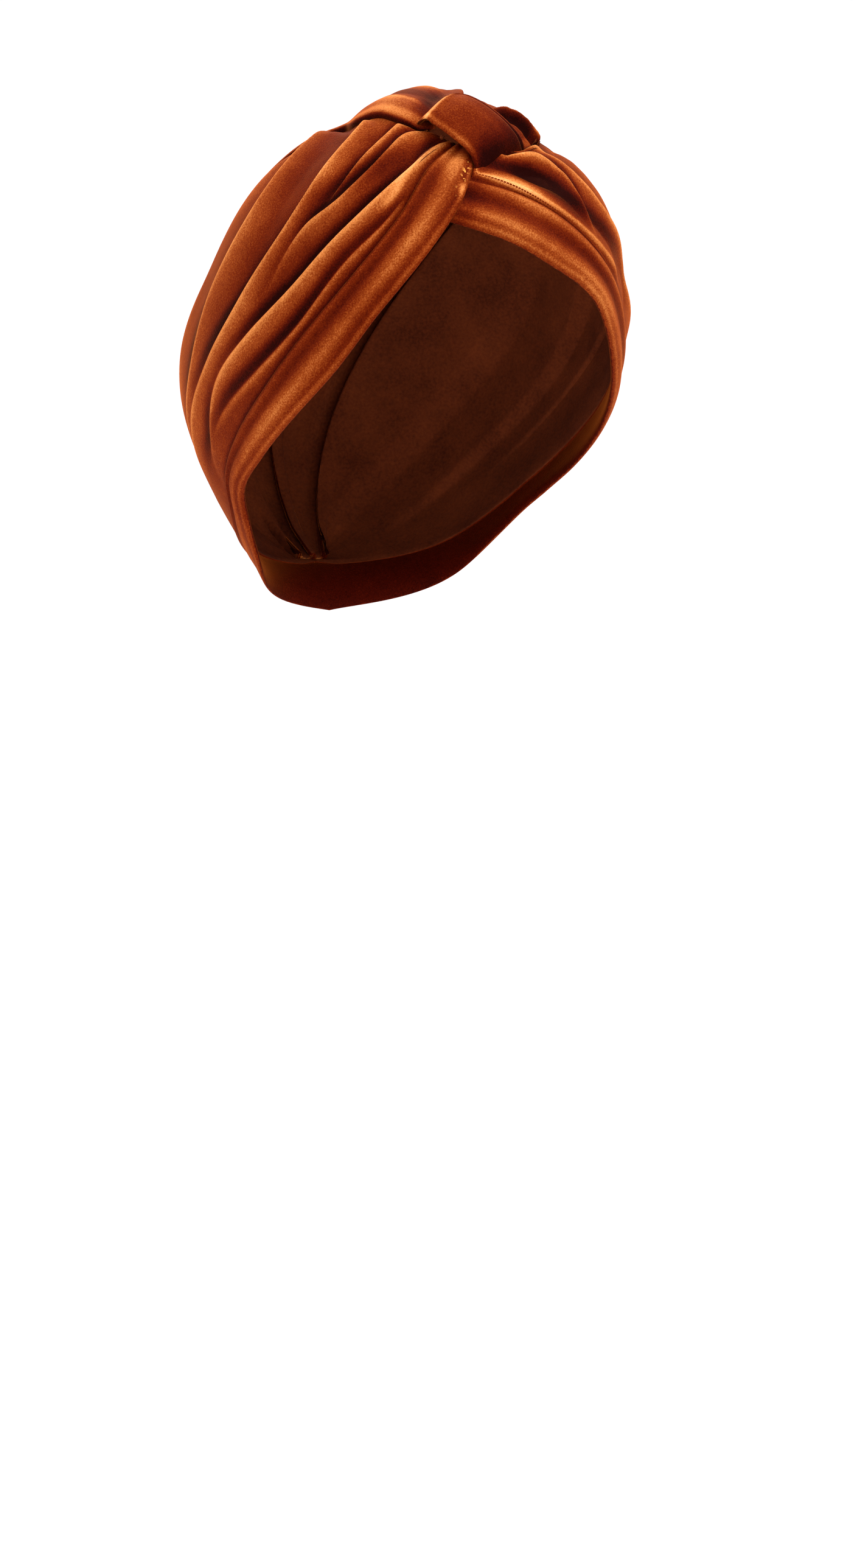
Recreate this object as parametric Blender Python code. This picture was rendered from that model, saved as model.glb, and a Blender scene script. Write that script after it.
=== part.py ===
# Turban headwrap of rust coloured velvet with an interlocked twist over the forehead.
# The wearer faces -Y, +Z is up and -X is the wearer's right hand side.
# The origin is the point inside the crown where the cloth rests on the top of the head.
import bpy
import numpy as np

# Head that the wrap is formed on: a long round form tilted up at the forehead, and its neck.
HEAD_HALF_WIDTH = 0.0776
HEAD_HALF_LENGTH = 0.1022
HEAD_HALF_HEIGHT = 0.0810
HEAD_TILT_DEG = 34.0
NECK_HALF_WIDTH = 0.0486
NECK_HALF_LENGTH = 0.0526
NECK_REACH = 0.13
NECK_BLEND_POWER = 10.0

# Cloth.
CLOTH_WALL = 0.0017
BAND_WALL = 0.0030
SWATH_WALL = 0.0020
LOOP_WALL = 0.0030
SEAM_GAP = 0.0003
HEAD_CLEARANCE = 0.0002
VALLEY_LIFT = 0.0019
TUCK_SHARE = 0.06
TUCK_CLEARANCE = 0.0005
# Least distance between two lines of a pleated panel's mesh, as a share of the width.
LINE_SPACING = 0.003
# Mesh lines on a pleat's long slope for each millimetre of its reach.
SLOPE_LINES = 0.1

# Mesh fineness.
ROWS = 35
BAND_COLUMNS = 4
SWATH_COLUMNS = 8
LOOP_ROWS = 12
LOOP_COLUMNS = 8

# Edges of the pieces, each from the knot (share 0) to the centre back (share 1).
# Columns: share of the length, turn from the front towards the wearer's right in degrees,
# rise above the level of the head's middle in degrees (beyond 90 it goes on down the back).
RIGHT_HEM = (
    (0.0, 13.0, 37.0),
    (0.1, 18.0, 26.5),
    (0.2, 26.0, 15.5),
    (0.3, 37.0, 3.0),
    (0.4, 50.0, -11.5),
    (0.5, 66.0, -23.5),
    (0.6, 83.0, -33.0),
    (0.7, 101.0, -40.5),
    (0.8, 114.0, -50.0),
    (0.9, 132.0, -58.0),
    (1.0, 179.9, -60.0),
)
RIGHT_BAND_TOP = (
    (0.0, 15.0, 43.5),
    (0.1, 25.0, 36.0),
    (0.2, 33.0, 24.0),
    (0.3, 44.5, 11.5),
    (0.4, 58.0, -1.0),
    (0.5, 74.0, -14.5),
    (0.6, 90.0, -25.0),
    (0.7, 105.0, -33.5),
    (0.8, 119.0, -43.0),
    (0.9, 142.0, -48.5),
    (1.0, 179.9, -48.0),
)
RIGHT_PANEL_TOP = (
    (0.0, 24.0, 47.0),
    (0.1, 30.0, 49.5),
    (0.2, 41.0, 56.0),
    (0.3, 56.0, 61.0),
    (0.4, 76.0, 69.0),
    (0.5, 100.0, 63.0),
    (0.6, 119.0, 49.5),
    (0.7, 134.0, 34.5),
    (0.8, 150.0, 14.0),
    (0.9, 164.0, -13.0),
    (1.0, 175.0, -46.6),
)
LEFT_HEM = (
    (0.0, 20.0, 21.4),
    (0.1, 9.0, 18.0),
    (0.2, -2.0, 13.0),
    (0.3, -15.0, 8.0),
    (0.4, -27.0, 0.0),
    (0.5, -40.0, -9.5),
    (0.6, -56.0, -20.0),
    (0.7, -76.0, -30.5),
    (0.8, -98.0, -40.0),
    (0.9, -125.0, -56.0),
    (1.0, -179.9, -60.0),
)
LEFT_BAND_TOP = (
    (0.0, 13.8, 32.2),
    (0.1, 5.0, 28.5),
    (0.2, -6.5, 23.5),
    (0.3, -19.0, 17.5),
    (0.4, -31.0, 11.5),
    (0.5, -45.0, 2.0),
    (0.6, -62.0, -9.0),
    (0.7, -82.0, -20.0),
    (0.8, -103.0, -31.5),
    (0.9, -135.0, -46.0),
    (1.0, -179.9, -48.0),
)
LEFT_PANEL_TOP = (
    (0.0, -2.6, 39.2),
    (0.1, -10.0, 43.5),
    (0.2, -22.0, 50.0),
    (0.3, -38.0, 55.5),
    (0.4, -62.0, 58.0),
    (0.5, -88.0, 55.0),
    (0.6, -110.0, 47.5),
    (0.7, -130.0, 35.0),
    (0.8, -149.0, 14.0),
    (0.9, -164.0, -13.0),
    (1.0, -175.0, -46.6),
)
CROWN_LINE = (
    (0.0, 17.0, 49.5),
    (0.1, 2.0, 66.0),
    (0.2, -6.0, 81.0),
    (0.3, -8.0, 96.0),
    (0.4, -8.0, 110.0),
    (0.5, -7.0, 125.0),
    (0.6, -5.0, 140.0),
    (0.7, -3.0, 156.0),
    (0.8, -1.0, 174.0),
    (0.9, 0.0, 196.0),
    (1.0, 0.0, 227.4),
)
REAR_FOLD_FRONT = (11.6, 37.6)
# The loop of the knot, from the crease where it turns over (share 0) to where it tucks in.
LOOP_RIGHT_EDGE = (
    (0.0, 24.5, 48.5),
    (0.12, 24.0, 46.5),
    (0.4, 21.5, 43.5),
    (0.65, 18.0, 40.0),
    (0.85, 15.5, 36.5),
    (1.0, 15.0, 33.6),
)
LOOP_LEFT_EDGE = (
    (0.0, 12.5, 56.5),
    (0.12, 12.5, 54.5),
    (0.35, 8.0, 51.0),
    (0.6, 3.5, 46.5),
    (0.8, 0.5, 43.0),
    (1.0, -2.0, 40.0),
)

# Lifts of the outside of the cloth above the head, in millimetres.
# Columns: share of the length, lift at the lower edge, extra lift along the middle,
# lift at the upper edge.
BAND_LIFT = (
    (0.0, 3.6, 0.2, 3.6),
    (0.12, 3.4, 0.4, 3.6),
    (1.0, 3.2, 0.4, 3.4),
)
DRAPE_LIFT = (
    (0.0, 4.4, 0.0, 4.0),
    (0.05, 4.8, 0.0, 4.0),
    (0.1, 7.6, 2.0, 8.4),
    (0.14, 8.2, 2.0, 9.6),
    (0.2, 8.4, 2.2, 8.2),
    (0.27, 7.2, 1.6, 6.2),
    (0.35, 4.6, 0.4, 4.6),
    (0.41, 4.8, 0.4, 4.4),
    (0.5, 7.2, 0.4, 4.4),
    (0.58, 7.4, 0.4, 4.2),
    (0.68, 5.4, 0.5, 4.0),
    (1.0, 4.4, 0.4, 4.0),
)
REAR_FOLD_LIFT = (
    (0.0, 2.6, 1.0, 3.6),
    (0.08, 4.0, 0.6, 6.4),
    (0.13, 4.4, 0.4, 9.2),
    (0.2, 4.6, 0.4, 7.8),
    (0.27, 4.6, 0.8, 5.8),
    (0.4, 4.8, 1.0, 4.4),
    (1.0, 4.4, 0.4, 4.0),
)
LOOP_LIFT = (
    (0.0, 8.5, 0.0, 8.0),
    (0.12, 13.0, 1.0, 14.0),
    (0.4, 11.0, 2.6, 14.0),
    (0.65, 9.6, 2.6, 12.0),
    (0.85, 8.2, 1.8, 10.2),
    (1.0, 6.6, 0.0, 7.4),
)

# Pleats. Columns: height in millimetres, reach of the steep side towards the crown and of
# the long side towards the face in millimetres, first and last share of the length, then
# the crest's share of the width at the shares of the length in PLEAT_STATIONS.
PLEAT_STATIONS = (0.0, 0.1, 0.2, 0.3, 0.4, 0.5, 0.6, 0.7, 0.85, 1.0)
RIGHT_PLEATS = (
    (2.2, 3.0, 6.0, 0.18, 0.80, (0.03, 0.03, 0.03, 0.065, 0.03, 0.055, 0.085, 0.09, 0.08, 0.08)),
    (4.6, 5.0, 20.0, 0.02, 0.78, (0.04, 0.06, 0.20, 0.20, 0.16, 0.175, 0.175, 0.08, 0.03, 0.03)),
    (4.2, 4.5, 14.0, 0.0, 0.52, (0.74, 0.70, 0.50, 0.37, 0.32, 0.19, 0.15, 0.13, 0.1, 0.1)),
    (4.2, 4.5, 12.0, 0.0, 0.40, (1.04, 1.0, 0.65, 0.475, 0.32, 0.3, 0.3, 0.3, 0.3, 0.3)),
    (4.8, 6.0, 20.0, 0.12, 0.88, (1.15, 1.12, 1.05, 0.70, 0.42, 0.305, 0.27, 0.25, 0.2, 0.2)),
    (5.0, 12.0, 30.0, 0.25, 1.00, (1.5, 1.4, 1.3, 1.2, 1.0, 0.62, 0.46, 0.33, 0.3, 0.3)),
    (5.0, 14.0, 28.0, 0.25, 1.10, (1.6, 1.5, 1.4, 1.3, 1.15, 0.95, 0.84, 0.66, 0.55, 0.55)),
)
LEFT_PLEATS = (
    (2.8, 5.0, 7.0, 0.02, 0.50, (0.08, 0.12, 0.13, 0.11, 0.09, 0.08, 0.08, 0.08, 0.08, 0.08)),
    (4.4, 5.0, 11.0, 0.0, 0.34, (0.4, 0.5, 0.39, 0.06, 0.04, 0.04, 0.04, 0.04, 0.04, 0.04)),
    (4.2, 7.0, 14.0, 0.0, 0.62, (0.78, 0.78, 0.57, 0.34, 0.22, 0.13, 0.1, 0.1, 0.1, 0.1)),
    (4.2, 6.0, 20.0, 0.2, 0.90, (0.9, 0.92, 0.84, 0.66, 0.5, 0.36, 0.28, 0.23, 0.2, 0.19)),
    (5.0, 12.0, 30.0, 0.2, 1.00, (1.4, 1.3, 1.15, 1.0, 0.76, 0.57, 0.44, 0.34, 0.31, 0.3)),
    (5.0, 14.0, 28.0, 0.3, 1.10, (1.6, 1.5, 1.3, 1.2, 1.1, 0.92, 0.74, 0.62, 0.56, 0.55)),
)
# How much of a pleat's height is left, pressed flat under the knot and drawn tight round the
# back of the head. Columns: share of the length, at the lower edge, at the upper edge.
RIGHT_FULLNESS = (
    (0.0, 0.45, 0.45),
    (0.12, 1.0, 1.0),
    (0.35, 0.95, 1.1),
    (0.5, 0.6, 1.0),
    (0.62, 0.35, 0.55),
    (0.75, 0.5, 0.8),
    (0.84, 0.25, 0.9),
    (1.0, 0.4, 0.8),
)
LEFT_FULLNESS = (
    (0.0, 0.45, 0.45),
    (0.12, 0.95, 0.9),
    (0.22, 0.95, 0.4),
    (0.35, 0.85, 0.5),
    (0.5, 0.9, 1.0),
    (0.7, 0.9, 1.1),
    (0.85, 0.6, 1.0),
    (1.0, 0.4, 0.8),
)
DRAPE_PLEATS = (
    (2.0, 10.0, 16.0, 0.1, 1.10, (0.3, 0.3, 0.26, 0.25, 0.26, 0.28, 0.3, 0.3, 0.3, 0.3)),
    (2.2, 9.0, 18.0, 0.12, 1.10, (0.7, 0.68, 0.62, 0.6, 0.6, 0.62, 0.64, 0.66, 0.68, 0.7)),
)
REAR_FOLD_PLEATS = (
    (2.0, 9.0, 16.0, 0.1, 1.10, (0.3, 0.34, 0.36, 0.34, 0.3, 0.3, 0.3, 0.3, 0.3, 0.3)),
    (1.8, 9.0, 14.0, 0.14, 1.10, (0.7, 0.74, 0.72, 0.68, 0.66, 0.66, 0.66, 0.66, 0.68, 0.7)),
)

MM = 0.001
VELVET = (0.36, 0.085, 0.02, 1.0)


def smooth_between(rows, share):
    """Smooth curve through the rows of a table, one value for each column after the first."""
    rows = np.array(rows, dtype=float)
    share = np.asarray(share, dtype=float)
    x = rows[:, 0]
    i = np.clip(np.searchsorted(x, share) - 1, 0, len(x) - 2)
    h = x[i + 1] - x[i]
    s = np.clip((share - x[i]) / h, 0.0, 1.0)
    values = []
    for column in range(1, rows.shape[1]):
        y = rows[:, column]
        slope = np.gradient(y, x)
        value = (2 * s**3 - 3 * s**2 + 1) * y[i] + (s**3 - 2 * s**2 + s) * h * slope[i]
        value += (3 * s**2 - 2 * s**3) * y[i + 1] + (s**3 - s**2) * h * slope[i + 1]
        values.append(value)
    return values


def direction(turn, rise):
    """Unit vector from the head's middle for a turn and a rise in degrees."""
    t = np.radians(turn)
    r = np.radians(rise)
    return np.stack([-np.sin(t) * np.cos(r), -np.cos(t) * np.cos(r), np.sin(r)], axis=-1)


def head_radius(d):
    """Distance from the head's middle to its surface in direction d."""
    tilt = np.radians(HEAD_TILT_DEG)
    side = d[..., 0] / HEAD_HALF_WIDTH
    front = (-np.cos(tilt) * d[..., 1] + np.sin(tilt) * d[..., 2]) / HEAD_HALF_LENGTH
    crown = (np.sin(tilt) * d[..., 1] + np.cos(tilt) * d[..., 2]) / HEAD_HALF_HEIGHT
    skull = 1.0 / np.sqrt(side**2 + front**2 + crown**2)
    across = np.sqrt((d[..., 0] / NECK_HALF_WIDTH) ** 2 + (d[..., 1] / NECK_HALF_LENGTH) ** 2)
    down = np.clip((-d[..., 2] - 0.2) / 0.4, 0.0, 1.0)
    neck = np.minimum(down / np.maximum(across, 0.001), NECK_REACH)
    p = NECK_BLEND_POWER
    return (skull**p + neck**p) ** (1.0 / p)


def between(p, q, share):
    """Direction a share of the way from p to q along the arc that joins them."""
    angle = np.arccos(np.clip((p * q).sum(axis=-1, keepdims=True), -1.0, 1.0))
    share = share[..., None]
    return (np.sin((1.0 - share) * angle) * p + np.sin(share * angle) * q) / np.sin(angle)


def arc_width(p, q):
    """Width in metres of the strip between the edge directions p and q."""
    angle = np.arccos(np.clip((p * q).sum(axis=-1), -1.0, 1.0))
    return angle * head_radius(between(p, q, np.full(p.shape[:-1], 0.5)))


def ease(s):
    s = np.clip(s, 0.0, 1.0)
    return s * s * (3.0 - 2.0 * s)


def pleat_lift(pleats, share, across, width):
    """Height of the pleated cloth above its valleys, in metres."""
    total = np.zeros(np.broadcast(share, across).shape)
    for height, steep, reach, first, last, crests in pleats:
        crest = smooth_between(tuple(zip(PLEAT_STATIONS, crests)), share)[0]
        away = (across - crest) * width / MM
        shape = np.where(away > 0.0, 1.0 - ease(away / steep), 1.0 - ease(-away / reach))
        fade = ease((share - first + 0.04) / 0.08) * ease((last - share) / 0.16)
        total += (height * shape * fade) ** 4
    return total**0.25 * MM


def pleat_columns(pleats, share, width):
    """Shares of the width for a row of the mesh: a line along each crest and each foot."""
    columns = [0.0]
    for height, steep, reach, first, last, crests in pleats:
        crest = float(smooth_between(tuple(zip(PLEAT_STATIONS, crests)), share)[0])
        crest = max(min(crest, 1.0), columns[-1] + 2.0 * LINE_SPACING)
        lines = max(1, int(reach * SLOPE_LINES))
        slope = np.linspace(columns[-1], crest, lines + 2)
        columns.extend(float(line) for line in slope[1:])
        columns.append(crest + steep * MM / width)
    columns.append((columns[-1] + 1.0 + TUCK_SHARE) / 2.0)
    columns.append(1.0 + TUCK_SHARE)
    room = LINE_SPACING * np.arange(len(columns))
    columns = np.maximum(columns, room)
    return np.minimum(columns, 1.0 + TUCK_SHARE - room[::-1])


def edge_lift(rows, share, across):
    """Lift in metres from a table of lower edge, middle and upper edge."""
    low, middle, top = smooth_between(rows, share)
    return (low + (top - low) * ease(across) + middle * np.sin(np.pi * across)) * MM


def crown_height():
    """Height of the origin above the head's middle."""
    return float(head_radius(np.array([0.0, 0.0, 1.0])))


def place(d, lift):
    """Points in the part's frame at a lift above the head in direction d."""
    points = d * (head_radius(d) + lift)[..., None]
    points[..., 2] -= crown_height()
    return points


def add_cloth(name, d, lift, wall):
    """One closed sheet from a grid of directions and the lifts of its outside."""
    rows, columns = lift.shape
    outside = place(d, lift)
    inside = place(d, np.maximum(lift - wall, HEAD_CLEARANCE))
    points = np.concatenate([outside.reshape(-1, 3), inside.reshape(-1, 3)])
    half = rows * columns

    def at(i, j, layer):
        return layer * half + i * columns + j

    faces = []
    for i in range(rows - 1):
        for j in range(columns - 1):
            a, b, c, e = at(i, j, 0), at(i + 1, j, 0), at(i + 1, j + 1, 0), at(i, j + 1, 0)
            first = np.linalg.norm(points[a] - points[c])
            second = np.linalg.norm(points[b] - points[e])
            cells = ((a, b, c), (a, c, e)) if first <= second else ((a, b, e), (b, c, e))
            for cell in cells:
                faces.append(cell)
                faces.append(tuple(v + half for v in reversed(cell)))
    rim = [(i, 0) for i in range(rows)]
    rim += [(rows - 1, j) for j in range(1, columns)]
    rim += [(i, columns - 1) for i in range(rows - 2, -1, -1)]
    rim += [(0, j) for j in range(columns - 2, 0, -1)]
    for k in range(len(rim)):
        i, j = rim[k]
        m, n = rim[(k + 1) % len(rim)]
        a, b, c, e = at(i, j, 0), at(m, n, 0), at(m, n, 1), at(i, j, 1)
        faces.append((a, e, b))
        faces.append((b, e, c))
    mesh = bpy.data.meshes.new(name)
    mesh.from_pydata([tuple(p) for p in points], [], faces)
    mesh.update()
    volume = 0.0
    for face in faces:
        p, q, r = points[face[0]], points[face[1]], points[face[2]]
        volume += float(np.dot(p, np.cross(q, r)))
    if volume < 0.0:
        mesh.flip_normals()
    piece = bpy.data.objects.new(name, mesh)
    bpy.context.scene.collection.objects.link(piece)
    material = bpy.data.materials.new(name)
    material.use_nodes = True
    shader = material.node_tree.nodes["Principled BSDF"]
    shader.inputs["Base Color"].default_value = VELVET
    shader.inputs["Roughness"].default_value = 0.8
    mesh.materials.append(material)
    return piece


def edge(rows, share):
    turn, rise = smooth_between(rows, share)
    return direction(turn, rise)


def strip(low_edge, top_edge, columns, gap_low, gap_top):
    """Directions, shares and width of a strip between two edges, a row of each."""
    share = np.linspace(0.0, 1.0, len(low_edge))
    width = arc_width(low_edge, top_edge)
    across = gap_low / width[:, None] + columns * (1.0 - (gap_low + gap_top) / width[:, None])
    d = between(low_edge[:, None, :], top_edge[:, None, :], across)
    return d, share[:, None] + 0.0 * across, across, width[:, None]


def add_band(name, hem, top):
    share = np.linspace(0.0, 1.0, ROWS)
    columns = np.linspace(0.0, 1.0, BAND_COLUMNS + 1) + np.zeros((ROWS, 1))
    low_edge, top_edge = edge(hem, share), edge(top, share)
    d, share, across, width = strip(low_edge, top_edge, columns, 0.0, SEAM_GAP / 2)
    return add_cloth(name, d, edge_lift(BAND_LIFT, share, across), BAND_WALL)


def add_panel(name, low, top, pleats, fullness, cover):
    """Pleated side panel; its upper edge is tucked in under the swath called cover."""
    share = np.linspace(0.0, 1.0, ROWS)
    low_edge, top_edge = edge(low, share), edge(top, share)
    width = arc_width(low_edge, top_edge)
    columns = []
    for i in range(ROWS):
        columns.append(pleat_columns(pleats, share[i], width[i]))
    columns = np.array(columns)
    d, share, across, width = strip(low_edge, top_edge, columns, SEAM_GAP / 2, 0.0)
    low_share, top_share = smooth_between(fullness, share)
    full = low_share + (top_share - low_share) * ease(across)
    lift = VALLEY_LIFT + full * pleat_lift(pleats, share, across, width)
    roof = smooth_between(cover, share)[0] * MM - SWATH_WALL - TUCK_CLEARANCE
    tucked = ease((across - 0.8) / 0.12)
    lift = lift + tucked * (np.minimum(lift, roof) - lift)
    return add_cloth(name, d, lift, CLOTH_WALL)


def add_swath(name, low, top, lifts, pleats, front=None):
    share = np.linspace(0.0, 1.0, ROWS)
    columns = np.linspace(0.0, 1.0, SWATH_COLUMNS + 1) + np.zeros((ROWS, 1))
    low_edge, top_edge = edge(low, share), edge(top, share)
    if front is not None:
        blend = (1.0 - ease(share / 0.08))[:, None]
        low_edge = low_edge + blend * (direction(*front) - low_edge[0])
        low_edge /= np.linalg.norm(low_edge, axis=1)[:, None]
    d, share, across, width = strip(low_edge, top_edge, columns, 0.0, SEAM_GAP / 2)
    lift = edge_lift(lifts, share, across) + pleat_lift(pleats, share, across, width)
    return add_cloth(name, d, lift, SWATH_WALL)


def add_loop(name):
    share = np.linspace(0.0, 1.0, LOOP_ROWS + 1)
    share[1] = 0.06
    share[2] = 0.12
    columns = np.linspace(0.0, 1.0, LOOP_COLUMNS + 1) + np.zeros((LOOP_ROWS + 1, 1))
    low_edge, top_edge = edge(LOOP_RIGHT_EDGE, share), edge(LOOP_LEFT_EDGE, share)
    d = between(low_edge[:, None, :], top_edge[:, None, :], columns)
    lift = edge_lift(LOOP_LIFT, share[:, None] + 0.0 * columns, columns)
    return add_cloth(name, d, lift, LOOP_WALL)


for old in list(bpy.data.objects):
    bpy.data.objects.remove(old)

# The hem band, in two halves that cross over the forehead and meet at the nape.
add_band("right_band", RIGHT_HEM, RIGHT_BAND_TOP)
add_band("left_band", LEFT_HEM, LEFT_BAND_TOP)

# The pleated cloth at each side, from the knot to the centre back.
add_panel(
    "right_panel", RIGHT_BAND_TOP, RIGHT_PANEL_TOP, RIGHT_PLEATS, RIGHT_FULLNESS, DRAPE_LIFT
)
add_panel(
    "left_panel", LEFT_BAND_TOP, LEFT_PANEL_TOP, LEFT_PLEATS, LEFT_FULLNESS, REAR_FOLD_LIFT
)

# The two swaths that come out of the knot and cover the crown and the back.
add_swath("crown_drape", RIGHT_PANEL_TOP, CROWN_LINE, DRAPE_LIFT, DRAPE_PLEATS)
add_swath(
    "rear_fold", LEFT_PANEL_TOP, CROWN_LINE, REAR_FOLD_LIFT, REAR_FOLD_PLEATS, REAR_FOLD_FRONT
)

# The loop that holds the two halves together over the forehead.
add_loop("knot_loop")
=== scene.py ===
import math

import bpy
import numpy as np
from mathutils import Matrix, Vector


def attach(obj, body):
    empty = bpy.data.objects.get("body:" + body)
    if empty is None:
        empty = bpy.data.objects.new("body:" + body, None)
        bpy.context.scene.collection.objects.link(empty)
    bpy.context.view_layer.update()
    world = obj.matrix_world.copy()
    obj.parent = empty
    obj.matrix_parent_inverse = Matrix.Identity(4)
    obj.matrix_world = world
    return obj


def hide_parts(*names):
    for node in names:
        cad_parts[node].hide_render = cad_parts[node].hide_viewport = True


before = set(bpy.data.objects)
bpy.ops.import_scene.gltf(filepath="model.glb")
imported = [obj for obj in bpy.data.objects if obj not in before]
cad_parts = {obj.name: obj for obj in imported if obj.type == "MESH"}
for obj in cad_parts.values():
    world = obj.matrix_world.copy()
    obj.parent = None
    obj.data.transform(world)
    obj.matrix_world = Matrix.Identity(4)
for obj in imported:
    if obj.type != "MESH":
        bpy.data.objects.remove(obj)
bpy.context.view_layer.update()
bpy.ops.object.select_all(action="DESELECT")

# Camera, floor and light
# A long lens level with the wearer's chin looks a little up at the wrap from the front right.
# The floor is a wide white sheet that curves up far away all round, lit by large soft lamps.
MIDDLE_BELOW_ORIGIN = 0.0862
CAMERA_TURN = -32.0
CAMERA_PLACE = (-0.7528, -1.2221, -0.1666 - MIDDLE_BELOW_ORIGIN)
FLOOR_HEIGHT = -0.437 - MIDDLE_BELOW_ORIGIN

bpy.ops.object.camera_add(
    location=CAMERA_PLACE,
    rotation=(math.radians(90.0), 0.0, math.radians(CAMERA_TURN)),
)
camera = bpy.context.object
camera.name = "photo_camera"
camera.data.lens = 85.0
camera.data.sensor_width = 36.0
camera.data.clip_start = 0.05
camera.data.clip_end = 60.0
bpy.context.scene.camera = camera


def studio_floor():
    """A flat floor that rises smoothly into a backdrop from three metres out."""
    bpy.ops.mesh.primitive_grid_add(x_subdivisions=72, y_subdivisions=72, size=26.0)
    floor = bpy.context.object
    floor.name = "studio_floor"
    for vertex in floor.data.vertices:
        out = max(math.hypot(vertex.co.x, vertex.co.y) - 3.0, 0.0)
        vertex.co.z = FLOOR_HEIGHT + 0.1 * out**2
    bpy.ops.object.shade_smooth()
    material = bpy.data.materials.new("studio paper")
    material.use_nodes = True
    shader = material.node_tree.nodes["Principled BSDF"]
    shader.inputs["Base Color"].default_value = (0.96, 0.96, 0.96, 1.0)
    shader.inputs["Roughness"].default_value = 0.8
    shader.inputs["Specular IOR Level"].default_value = 0.1
    floor.data.materials.append(material)
    floor.select_set(False)


studio_floor()


def soft_lamp(name, turn, rise, distance, size, power):
    """A square soft lamp that looks at the wrap from a turn and a rise in degrees."""
    t, r = math.radians(turn), math.radians(rise)
    place = (
        -math.sin(t) * math.cos(r) * distance,
        -math.cos(t) * math.cos(r) * distance,
        math.sin(r) * distance - MIDDLE_BELOW_ORIGIN,
    )
    bpy.ops.object.light_add(type="AREA", location=place)
    lamp = bpy.context.object
    lamp.name = name
    lamp.data.size = size
    lamp.data.energy = power
    lamp.rotation_euler = (math.radians(90.0 - rise), 0.0, math.radians(-turn))
    lamp.select_set(False)


soft_lamp("key_softbox", -20.0, 52.0, 1.5, 0.7, 18.0)
soft_lamp("side_softbox", 100.0, 30.0, 1.7, 0.9, 9.0)
soft_lamp("back_softbox", -160.0, 50.0, 1.7, 0.9, 9.0)

world = bpy.data.worlds.new("studio room")
bpy.context.scene.world = world
world.use_nodes = True
world.node_tree.nodes["Background"].inputs["Color"].default_value = (1.0, 1.0, 1.0, 1.0)
world.node_tree.nodes["Background"].inputs["Strength"].default_value = 1.1
bpy.context.scene.view_settings.view_transform = "Standard"

# Right hem band
# The folded hem of the wearer's right half: a soft flat roll of velvet, sewn along its upper
# edge, from under the knot down over the temple and behind the ear to the nape.

# Head that the cloth lies on: a long round form tilted up at the forehead, and its neck.
HEAD_HALF_WIDTH = 0.0776
HEAD_HALF_LENGTH = 0.1022
HEAD_HALF_HEIGHT = 0.0810
HEAD_TILT = math.radians(34.0)
NECK_HALF_WIDTH = 0.0486
NECK_HALF_LENGTH = 0.0526
NECK_REACH = 0.13
MM = 0.001

# Share of the length from the knot to the nape, turn from the front towards the wearer's
# right and rise above the middle of the head, in degrees.
RIGHT_HEM = (
    (0.0, 13.0, 37.0),
    (0.1, 18.0, 26.5),
    (0.2, 26.0, 15.5),
    (0.3, 37.0, 3.0),
    (0.4, 50.0, -11.5),
    (0.5, 66.0, -23.5),
    (0.6, 83.0, -33.0),
    (0.7, 101.0, -40.5),
    (0.8, 114.0, -50.0),
    (0.9, 132.0, -58.0),
    (1.0, 180.0, -60.0),
)
RIGHT_BAND_TOP = (
    (0.0, 15.0, 43.5),
    (0.1, 25.0, 36.0),
    (0.2, 33.0, 24.0),
    (0.3, 44.5, 11.5),
    (0.4, 58.0, -1.0),
    (0.5, 74.0, -14.5),
    (0.6, 90.0, -25.0),
    (0.7, 105.0, -33.5),
    (0.8, 119.0, -43.0),
    (0.9, 142.0, -48.5),
    (1.0, 180.0, -48.0),
)


def smooth_between(rows, share):
    """Smooth curve through the rows of a table, one value for each column after the first."""
    rows = np.array(rows, dtype=float)
    x = rows[:, 0]
    i = np.clip(np.searchsorted(x, share) - 1, 0, len(x) - 2)
    h = x[i + 1] - x[i]
    s = np.clip((share - x[i]) / h, 0.0, 1.0)
    values = []
    for column in range(1, rows.shape[1]):
        y = rows[:, column]
        slope = np.gradient(y, x)
        value = (2 * s**3 - 3 * s**2 + 1) * y[i] + (s**3 - 2 * s**2 + s) * h * slope[i]
        value += (3 * s**2 - 2 * s**3) * y[i + 1] + (s**3 - s**2) * h * slope[i + 1]
        values.append(value)
    return values


def ease(s):
    s = np.clip(s, 0.0, 1.0)
    return s * s * (3.0 - 2.0 * s)


def hump(distance, width):
    """A soft bump that is 1 at no distance and fades out over about twice the width."""
    return np.exp(-((distance / width) ** 2))


def direction(turn, rise):
    t, r = np.radians(turn), np.radians(rise)
    return np.stack([-np.sin(t) * np.cos(r), -np.cos(t) * np.cos(r), np.sin(r)], axis=-1)


def head_radius(d):
    """Distance from the middle of the head to its surface in direction d."""
    side = d[..., 0] / HEAD_HALF_WIDTH
    front = -math.cos(HEAD_TILT) * d[..., 1] + math.sin(HEAD_TILT) * d[..., 2]
    crown = math.sin(HEAD_TILT) * d[..., 1] + math.cos(HEAD_TILT) * d[..., 2]
    front, crown = front / HEAD_HALF_LENGTH, crown / HEAD_HALF_HEIGHT
    skull = 1.0 / np.sqrt(side**2 + front**2 + crown**2)
    across = np.sqrt((d[..., 0] / NECK_HALF_WIDTH) ** 2 + (d[..., 1] / NECK_HALF_LENGTH) ** 2)
    down = np.clip((-d[..., 2] - 0.2) / 0.4, 0.0, 1.0)
    neck = np.minimum(down / np.maximum(across, 0.001), NECK_REACH)
    return (skull**10 + neck**10) ** 0.1


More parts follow.
